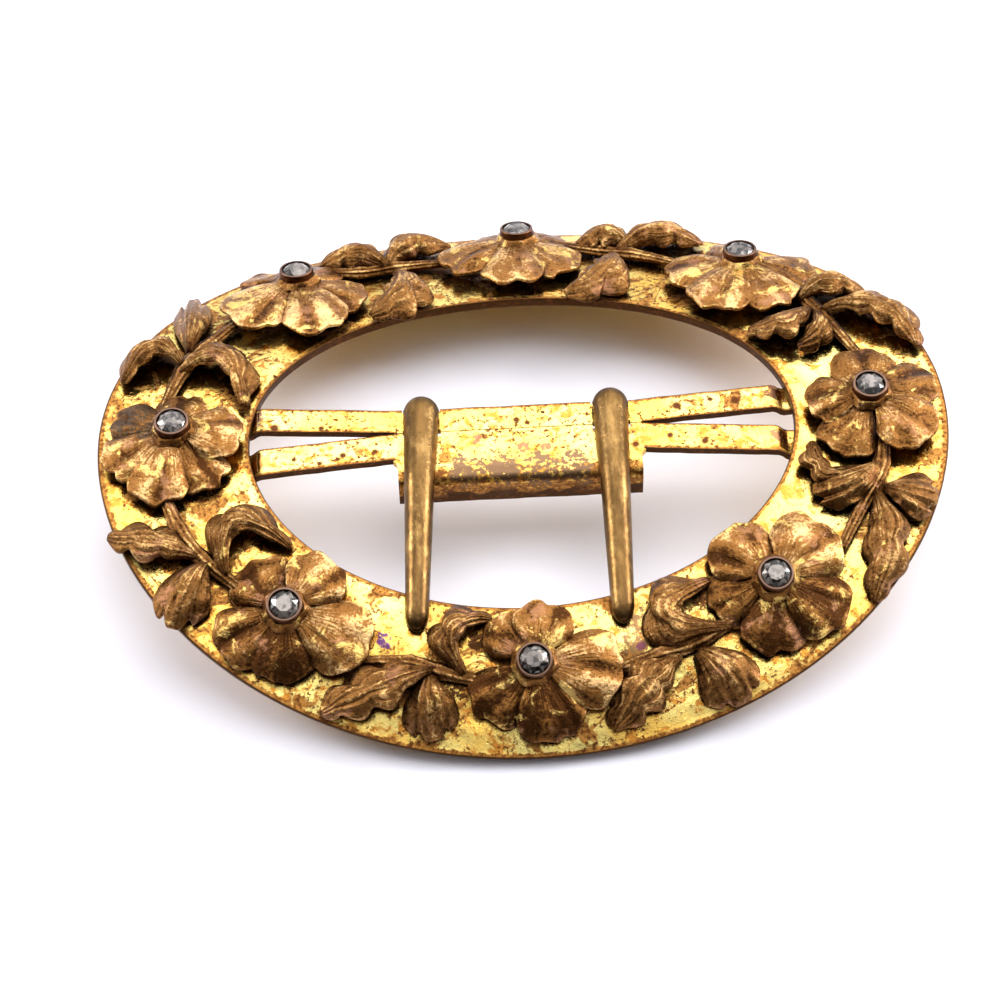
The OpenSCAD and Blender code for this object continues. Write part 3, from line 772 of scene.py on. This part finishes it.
def brown_brass(name, dark, mid, light, gilt_from, crusts=()):
    """Matt brown brass with rests of lemon gilding; painted light on the ridges and painted shade in the
    grooves and folds.
    """
    gilding, gilding_edge, pink = (1.0, 0.68, 0.20), (0.12, 0.045, 0.012), (0.42, 0.20, 0.10)
    speck, vein = (0.12, 0.05, 0.02), (0.10, 0.035, 0.012)
    dirt, fold = (0.08, 0.055, 0.035), (0.03, 0.009, 0.003)
    brass = Finish(name, metallic=1.0, roughness=0.42)
    relief = brass.attribute("relief")
    blotch = brass.noise(1.9, 6, 0.68, 0.5)
    grain = brass.noise(0.3, 4, 0.72)
    streak = brass.streaks(1.6, 26)
    near_base = brass.step(brass.attribute("along"), 0.85, 0.35)
    lines = brass.maths("MULTIPLY", brass.maths("SUBTRACT", streak, 0.5), near_base)
    # The relief attribute carries painted light and shade from the pressed sheets: it lifts the tone on
    # ridges and lowers it in grooves.
    tone = brass.maths("ADD", blotch, brass.maths("MULTIPLY", relief, 0.22))
    tone = brass.maths("ADD", tone, brass.maths("MULTIPLY", lines, 0.6))
    tone = brass.maths("ADD", tone, brass.maths("MULTIPLY", brass.maths("SUBTRACT", grain, 0.5), 0.8))
    base = brass.blend(brass.step(tone, 0.28, 0.50), dark, mid)
    base = brass.blend(brass.step(tone, 0.56, 0.78), base, light)
    gilded = brass.maths("ADD", brass.noise(2.4, 7, 0.72, 0.5), brass.maths("MULTIPLY", relief, 0.03))
    rests = brass.maths("MULTIPLY", brass.step(gilded, gilt_from, gilt_from + 0.09), 0.8)
    base = brass.blend(rests, base, gilding)
    flushed = brass.step(brass.noise(2.7, 5, 0.65), 0.56, 0.64)
    base = brass.blend(brass.maths("MULTIPLY", flushed, 0.6), base, pink)
    base = brass.blend(brass.outline(gilded, gilt_from, 0.008), base, gilding_edge)
    base = brass.blend(brass.step(grain, 0.60, 0.68), base, speck)
    base = brass.blend(brass.step(lines, -0.13, -0.20), base, vein)
    for place, radius in crusts:
        crust = brass.patch(place, radius, blotch, grain)
        crust = brass.maths("MULTIPLY", crust, brass.step(grain, 0.42, 0.54))
        base = brass.blend(crust, base, dirt)
    # Painted shade: near black in folds, under edges and close to other parts.
    base = brass.blend(brass.crevices(1.9, 0.2, 0.95), fold, base)
    brass.colour(base)
    brass.gloss(brass.step(grain, 0.3, 0.7), 0.22, 0.46)
    brass.bump(blotch, 0.10)
    brass.bump(lines, 0.16)
    brass.bump(grain, 0.09)
    return brass.material


def thicken(piece, thickness):
    """Gives a one-sided sheet its wall, downwards, and rounds its edges."""
    wall = piece.modifiers.new("wall", "SOLIDIFY")
    wall.thickness = thickness * MM
    wall.offset = -1
    rounding = piece.modifiers.new("rounding", "SUBSURF")
    rounding.levels = 1
    rounding.render_levels = 1


petal_crusts = ((on_face(-37.6, 1.6, 1.4), 2.4), (on_face(-36.0, 3.6, 1.8), 2.4),
                (on_face(-35.2, 0.6, 2.2), 1.8))
flower_brass = brown_brass("petal_brass", dark=(0.06, 0.022, 0.006), mid=(0.26, 0.112, 0.028),
                           light=(0.88, 0.55, 0.23), gilt_from=0.55, crusts=petal_crusts)
for number, petals in enumerate(flowers, 1):
    x, s = seat(f"stone_{number}")
    flower = bmesh.new()
    for k, row in enumerate(petals):
        petal(flower, x, s, row, 10 * number + k)
    heart(flower, x, s, 10 * number + 9)
    bmesh.ops.remove_doubles(flower, verts=flower.verts[:], dist=0.001)
    name = f"wreath_flower_{number}"
    piece = fit_piece(flower, name, "frame", flower_brass, f"flower_{number}")
    thicken(piece, petal_t)


# The collets: short brass cups that hold the stones. Each was turned with a rivet stem that passes through
# its flower and the plate and is peened flat behind. The rim is burnished over the stone's edge.
collet_r = 1.65
collet_wall = 0.22
collet_h = 0.97
rim_bevel = 0.08
rim_lean = 0.05
stem_r = 0.9
peen_spread = 0.4
peen_h = 0.3
collet_base = 2.55


def turned(bm, profile, x, s):
    """Spins a profile of radius, height and relief round a flower's stem."""
    relief = bm.verts.layers.float.new("relief")
    points = []
    for r, h, shade in profile:
        points.append(bm.verts.new((r, 0, h)))
        points[-1][relief] = shade
    edges = [bm.edges.new(pair) for pair in zip(points, points[1:])]
    bmesh.ops.spin(bm, geom=points + edges, axis=(0, 0, 1), angle=2 * math.pi, steps=56, use_merge=True)
    bmesh.ops.remove_doubles(bm, verts=bm.verts[:], dist=0.001)
    bmesh.ops.recalc_face_normals(bm, faces=bm.faces[:])
    for v in bm.verts:
        v.co = on_flower(x, s, math.atan2(v.co.y, v.co.x), math.hypot(v.co.x, v.co.y), v.co.z)


def collet_material():
    """Dark brown brass, with the burnished rim greyer."""
    dark, brown, rim_grey = (0.07, 0.028, 0.013), (0.19, 0.08, 0.034), (0.17, 0.10, 0.07)
    brass = Finish("collet_brass", metallic=1.0, roughness=0.35)
    blotch = brass.noise(0.9, 4, 0.65)
    wall = brass.blend(brass.step(blotch, 0.35, 0.7), dark, brown)
    brass.colour(brass.blend(brass.step(brass.attribute("relief"), 0.3, 0.8), wall, rim_grey))
    brass.gloss(blotch, 0.25, 0.5)
    brass.bump(blotch, 0.03)
    return brass.material


collet_brass = collet_material()
collet_top = collet_base + collet_h
cup_floor = collet_base + collet_wall
cup_r = collet_r - collet_wall
plate_back = -sheet_t - 0.05
# The cup from its floor over the rim and down outside, then the stem and its peened end. Each point is
# radius, height and relief.
collet_profile = (
    (0, cup_floor, 0), (cup_r, cup_floor, 0), (cup_r, collet_top - rim_bevel, 0),
    (cup_r - rim_lean, collet_top, 1), (collet_r - rim_bevel, collet_top, 1),
    (collet_r, collet_top - rim_bevel, 0.1), (collet_r + 0.03, collet_top - 0.4, 0),
    (collet_r - 0.02, collet_base + 0.1, 0), (collet_r, collet_base, 0),
    (stem_r, collet_base, 0), (stem_r, plate_back, 0), (stem_r + peen_spread, plate_back, 0.5),
    (stem_r + peen_spread - 0.1, plate_back - peen_h * 0.7, 0.8),
    (stem_r * 0.6, plate_back - peen_h, 0.6), (0, plate_back - peen_h, 0.6),
)
for number in range(1, len(flowers) + 1):
    x, s = seat(f"stone_{number}")
    collet = bmesh.new()
    turned(collet, collet_profile, x, s)
    name = f"stone_collet_{number}"
    piece = fit_piece(collet, name, "frame", collet_brass, f"collet_{number}")
    round_edges(piece, 0.05, 2)


# The stones: eight small faceted pastes of clear glass, foiled behind, so some facets look black and some
# white; here that black and white is painted on each facet as painted reflection. Each is cut with a flat
# top and eight sides split in four, and is held by its collet's rim.
stone_r = 1.39
stone_foot_r = 0.25
stone_low = 0.32
stone_band = 0.08
stone_top_r = 0.78
stone_h = 0.78
stone_foot = cup_floor + 0.2
crown_h = stone_h - stone_low - stone_band


def stone_material():
    """Grey-white paste: every facet is painted its own tone from black to grey, with painted sparkle, as
    painted reflection under a clear polish.
    """
    black, grey = (0.010, 0.008, 0.007), (0.26, 0.225, 0.20)
    paste = Finish("clear_paste", metallic=0.45, roughness=0.2)
    cut = paste.tree.nodes.new("ShaderNodeTexVoronoi")
    cut.inputs["Scale"].default_value = 1 / (0.42 * MM)
    paste.link(paste.place, cut.inputs["Vector"])
    # Painted sparkle: small cells of random brightness added to each facet's tone.
    painted_sparkle = paste.tree.nodes.new("ShaderNodeSeparateColor")
    paste.link(cut.outputs["Color"], painted_sparkle.inputs["Color"])
    tone = paste.maths("ADD", paste.attribute("tone"), painted_sparkle.outputs["Red"])
    paste.colour(paste.blend(paste.step(tone, 0.5, 1.7), black, grey))
    paste.shader.inputs["Coat Weight"].default_value = 0.6
    paste.shader.inputs["Coat Roughness"].default_value = 0.03
    paste.bump(paste.noise(0.35, 3, 0.6), 0.015)
    return paste.material


clear_paste = stone_material()
for number in range(1, len(flowers) + 1):
    x, s = seat(f"stone_{number}")
    rnd = random.Random(200 + number)
    stone = bmesh.new()
    crown = bmesh.ops.create_cone(stone, cap_ends=True, segments=8, radius1=stone_r,
                                  radius2=stone_top_r, depth=crown_h)["verts"]
    bmesh.ops.translate(stone, vec=(0, 0, stone_foot + stone_h - crown_h / 2), verts=crown)
    pavilion = bmesh.ops.create_cone(stone, cap_ends=True, segments=8, radius1=stone_foot_r,
                                     radius2=stone_r, depth=stone_low)["verts"]
    bmesh.ops.translate(stone, vec=(0, 0, stone_foot + stone_low / 2), verts=pavilion)
    # The cones' caps inside the stone go, and a band joins the two open rings
    caps = [f for f in stone.faces if abs(f.normal.z) > 0.9]
    doubled = [f for f in caps if 0.1 < f.calc_center_median().z - stone_foot < stone_h - 0.1]
    bmesh.ops.delete(stone, geom=doubled, context="FACES_ONLY")
    rings = [e for e in stone.edges if len(e.link_faces) == 1]
    bmesh.ops.bridge_loops(stone, edges=rings)
    slopes = [f for f in stone.faces if 0.15 < f.normal.z < 0.95]
    bmesh.ops.poke(stone, faces=slopes, offset=0.04)
    bmesh.ops.rotate(stone, matrix=Matrix.Rotation(rnd.uniform(0, 1), 3, "Z"), verts=stone.verts)
    bmesh.ops.recalc_face_normals(stone, faces=stone.faces[:])
    for v in stone.verts:
        v.co = on_flower(x, s, math.atan2(v.co.y, v.co.x), math.hypot(v.co.x, v.co.y), v.co.z)
    # Painted reflections: each facet gets a random tone from black to white, standing in for what the clear
    # foiled glass reflects.
    facet_reflection = stone.loops.layers.float_color.new("tone")
    for face in stone.faces:
        tone = rnd.choice((0.05, 0.3, 0.55, 0.8, 1.0))
        for loop in face.loops:
            loop[facet_reflection] = (tone, tone, tone, 1)
    name = f"paste_stone_{number}"
    piece = fit_piece(stone, name, "frame", clear_paste, f"stone_{number}")
    piece.data.polygons.foreach_set("use_smooth", [False] * len(piece.data.polygons))


# The leaf sprays: eight, each pressed in brass as a ribbed stem with lobed, veined leaves that arch clear
# of the plate, so they throw dark hollows. Their ends are caught under the flowers on either side.
leaf_t = 0.42
leaf_foot = 0.5
twig_w = 1.5
twig_h = 0.9
tuck_l = 1.2
# For each spray, numbered as the flower before it: the stem's bends as x and s, then a row for each leaf.
# A row is base, bend, tip, width, rise, hood (how high an edge stands: the left one, or the right one if
# below zero) and fullness (above one the leaf is broadest towards its tip).
sprays = (
    (((-33.3, 5.7), (-32.0, 9.2), (-30.2, 12.2), (-27.4, 15.4)),
     (((-31.4, 11.7), (-31.2, 15.2), (-31.0, 20.7), 4.0, 1.9, -0.3, 1.7),
      ((-32.0, 9.6), (-34.6, 10.9), (-37.6, 8.0), 3.8, 2.5, 0.7, 0.7),
      ((-32.2, 8.6), (-28.2, 9.0), (-26.4, 3.9), 4.2, 2.5, -0.7, 0.7))),
    (((-18.0, 24.8), (-14.6, 24.4), (-11.1, 25.0), (-6.6, 25.3)),
     (((-11.8, 24.4), (-14.8, 26.2), (-18.6, 25.6), 4.8, 2.4, 0.22, 0.8),
      ((-11.8, 24.6), (-9.7, 27.6), (-5.2, 28.6), 4.8, 2.4, -0.22, 0.9),
      ((-11.3, 23.4), (-10.7, 19.2), (-13.9, 16.0), 4.8, 2.1, -0.6, 0.9))),
    (((5.9, 27.7), (9.6, 25.9), (12.6, 24.8), (15.6, 23.1)),
     (((12.6, 25.6), (10.4, 27.2), (7.2, 27.2), 4.8, 2.4, 0.22, 0.8),
      ((11.2, 24.9), (15.4, 27.0), (19.8, 25.6), 5.0, 2.4, -0.22, 0.9),
      ((10.4, 24.4), (9.6, 20.3), (5.3, 17.6), 4.6, 2.1, -0.6, 0.9))),
    (((26.6, 18.0), (28.3, 15.2), (29.7, 11.8), (32.0, 6.9)),
     (((28.0, 13.8), (30.9, 15.0), (34.6, 14.3), 4.4, 2.4, -0.5, 0.9),
      ((28.8, 12.6), (26.0, 10.4), (22.4, 10.2), 4.4, 2.1, 0.6, 0.9),
      ((29.6, 11.8), (35.0, 10.9), (38.2, 6.2), 4.4, 2.4, -0.55, 0.9),
      ((28.8, 12.2), (28.9, 9.0), (26.8, 7.2), 2.6, 2.0, -0.5, 1.0))),
    (((33.4, -3.6), (32.8, -7.2), (31.2, -10.2), (28.5, -14.8)),
     (((32.5, -7.2), (29.5, -8.9), (26.0, -9.2), 5.0, 1.9, 0.5, 1.2),
      ((32.4, -9.9), (34.6, -10.6), (37.6, -11.2), 5.4, 2.0, -0.6, 1.5),
      ((31.5, -10.0), (32.0, -14.8), (30.3, -20.9), 4.2, 1.7, 0.3, 0.9),
      ((30.0, -8.2), (27.6, -7.6), (26.9, -4.4), 3.0, 1.7, 0.4, 1.1))),
    (((18.3, -21.2), (14.3, -23.4), (10.6, -24.5), (7.1, -25.5)),
     (((17.5, -22.2), (12.0, -21.0), (15.8, -18.0), 4.4, 2.2, -0.7, 0.8),
      ((12.5, -24.7), (9.3, -27.0), (5.8, -31.0), 5.0, 1.8, 0.4, 1.0),
      ((13.8, -24.4), (15.8, -26.6), (17.6, -29.6), 6.2, 1.9, 0.3, 1.3))),
    (((-5.8, -25.8), (-9.4, -24.7), (-12.0, -23.8), (-15.6, -23.4)),
     (((-7.0, -25.2), (-7.7, -21.6), (-4.2, -20.4), 3.5, 2.2, -0.6, 0.7),
      ((-9.8, -24.4), (-14.5, -25.6), (-20.3, -27.8), 4.6, 1.8, 0.6, 1.0),
      ((-10.3, -24.9), (-10.4, -27.4), (-10.2, -31.0), 5.4, 1.9, 0.3, 1.3))),
    (((-26.6, -16.0), (-30.3, -12.6), (-32.4, -9.4), (-33.5, -6.1)),
     (((-28.0, -14.6), (-27.0, -10.2), (-22.3, -12.2), 4.2, 2.3, -0.65, 0.65),
      ((-29.8, -13.1), (-31.5, -15.5), (-32.9, -19.4), 5.6, 1.9, 0.3, 1.3),
      ((-30.3, -12.6), (-34.4, -11.0), (-39.0, -9.8), 4.0, 1.8, 0.5, 1.0))),
)


def leaf(bm, row, seed):
    """One leaf from its row of the table: an arched, grooved sheet bent along its middle rib."""
    base, bend, tip, width, rise, hood, fullness = row
    base, bend, tip = Vector(base), Vector(bend), Vector(tip)
    rnd = random.Random(seed)
    lobes, wave = rnd.choice((2.5, 3.0, 3.5)), rnd.uniform(0, 6.28)
    open_side = math.copysign(1, hood)
    chord = tip - base
    bent = chord.cross(bend - base) / chord.length_squared
    outward = min(0.5, 1.3 * abs(bent)) * math.copysign(1, bent)

    def place(u, v):
        side = 2 * v - 1
        out = abs(side)
        raised = side * open_side
        tooth = abs(math.sin(math.pi * (lobes * u + 0.3 * open_side * side) + wave)) ** 0.6
        if fullness > 1.15:
            body = math.sin(math.pi / 2 * min(1.0, 0.07 + u ** fullness)) ** 0.8
            t = u * (1 - 0.26 * out ** 2.6 - 0.12 * math.exp(-((out - 0.45) / 0.08) ** 2))
        else:
            body = math.sin(math.pi * (0.03 + 0.95 * u ** fullness)) ** 0.62
            body *= 0.58 + 0.62 * tooth * ease(0.1, 0.4, u)
            t = u + 0.09 * out * out * math.sin(math.pi * u)
        half = width / 2 * body
        middle = base * (2 * t - 1) * (t - 1) + bend * 4 * t * (1 - t) + tip * t * (2 * t - 1)
        ahead = (base * (4 * t - 3) + bend * (4 - 8 * t) + tip * (4 * t - 1)).normalized()
        spot = middle + Vector((-ahead.y, ahead.x)) * (half * (side * (1 - 0.3 * abs(outward)) + outward))
        if raised < 0.3:
            vault = 1 - 0.97 * ((0.3 - raised) / 1.3) ** 2.2
        else:
            vault = 1 - (1 - abs(hood)) * ((raised - 0.3) / 0.7) ** 2
        arch = math.sin(math.pi * (0.09 + 0.86 * u)) ** 0.8
        sweep = side + 0.12 * math.sin(2.5 * u + wave) + 0.10 * ripple((u * 4, side * 3, seed), 1.0)
        grooves = 0.6 * math.cos(5.2 * math.pi * sweep) + 0.4 * math.cos(11 * math.pi * sweep + wave)
        ragged = out ** 4 * math.sin(2 * math.pi * lobes * u + wave)
        uneven = 0.16 * grooves * body ** 0.5 + 0.24 * ragged * arch
        uneven += 0.16 * ripple((spot.x, spot.y, seed), 2.0)
        h = leaf_foot + rise * arch * vault + min(1.0, 1.6 * vault) * uneven
        # Painted light and shade: lighter on the ridges and the high middle of the arch, darker in the
        # grooves and low down, and lighter at the very edges.
        shade = 0.42 * grooves + 0.8 * (vault * arch - 0.5) + 0.3 * out ** 8
        return on_face(spot.x, spot.y, max(leaf_t + 0.08, h)), shade

    sheet(bm, 30, 22, place, seed)


def twig(bm, bends, seed):
    """A stem of parallel ribs that follows its bends, thinner at both ends, which tuck under petals."""
    path = [Vector(p) for p in bends]
    path[0] += tuck_l * (path[0] - path[1]).normalized()
    path[-1] += tuck_l * (path[-1] - path[-2]).normalized()
    path = [2 * path[0] - path[1], *path, 2 * path[-1] - path[-2]]
    relief, along_it, across_it = surface_layers(bm)

    def middle(t):
        """A point of the smooth curve through the bends, one unit of t from each to the next."""
        k = min(int(t), len(path) - 4)
        f = t - k
        a, b, c, d = path[k:k + 4]
        curve = 2 * b + (c - a) * f + (2 * a - 5 * b + 4 * c - d) * f ** 2
        return 0.5 * (curve + (3 * b - a - 3 * c + d) * f ** 3)

    bmesh.ops.create_cone(bm, cap_ends=True, segments=36, radius1=1, radius2=1, depth=1)
    runs = [e for e in bm.edges if abs(e.verts[0].co.z - e.verts[1].co.z) > 0.5]
    bmesh.ops.subdivide_edges(bm, edges=runs, cuts=47, use_grid_fill=True)
    last = len(bends) - 1
    for v in bm.verts:
        t = (0.5 - v.co.z) * last
        turn = math.atan2(v.co.y, v.co.x)
        here = middle(t)
        ahead = (middle(min(last, t + 0.02)) - middle(max(0, t - 0.02))).normalized()
        across = Vector((-ahead.y, ahead.x))
        rib = abs(math.sin(3.5 * turn + 0.5 * math.sin(2 * t + seed)))
        knot = 1 + 0.18 * math.exp(-((t - round(t)) / 0.12) ** 2)
        r = (0.84 + 0.22 * rib) * knot * (0.45 + 0.55 * math.sin(math.pi * t / last) ** 0.6)
        spot = here + across * (0.5 * twig_w * r * math.cos(turn))
        # Painted light and shade: lighter on the ribs' crests and darker in the grooves between them.
        v[relief] = 1.4 * (rib - 0.6)
        v[along_it] = t
        v[across_it] = seed + 0.25 * turn
        v.co = on_face(spot.x, spot.y, 0.12 + 0.6 * twig_h + 0.6 * twig_h * r * math.sin(turn))


leaf_brass = brown_brass("leaf_brass", dark=(0.045, 0.016, 0.004), mid=(0.20, 0.088, 0.024),
                         light=(0.80, 0.48, 0.18), gilt_from=0.61)
for number, (bends, leaves) in enumerate(sprays, 1):
    spray = bmesh.new()
    for k, row in enumerate(leaves):
        leaf(spray, row, 100 + 10 * number + k)
    node = f"leaf_spray_{number}"
    piece = fit_piece(spray, f"wreath_leaves_{number}", "frame", leaf_brass, node)
    thicken(piece, leaf_t)
    stem = bmesh.new()
    twig(stem, bends, number)
    fit_piece(stem, f"wreath_stem_{number}", "frame", leaf_brass, node)
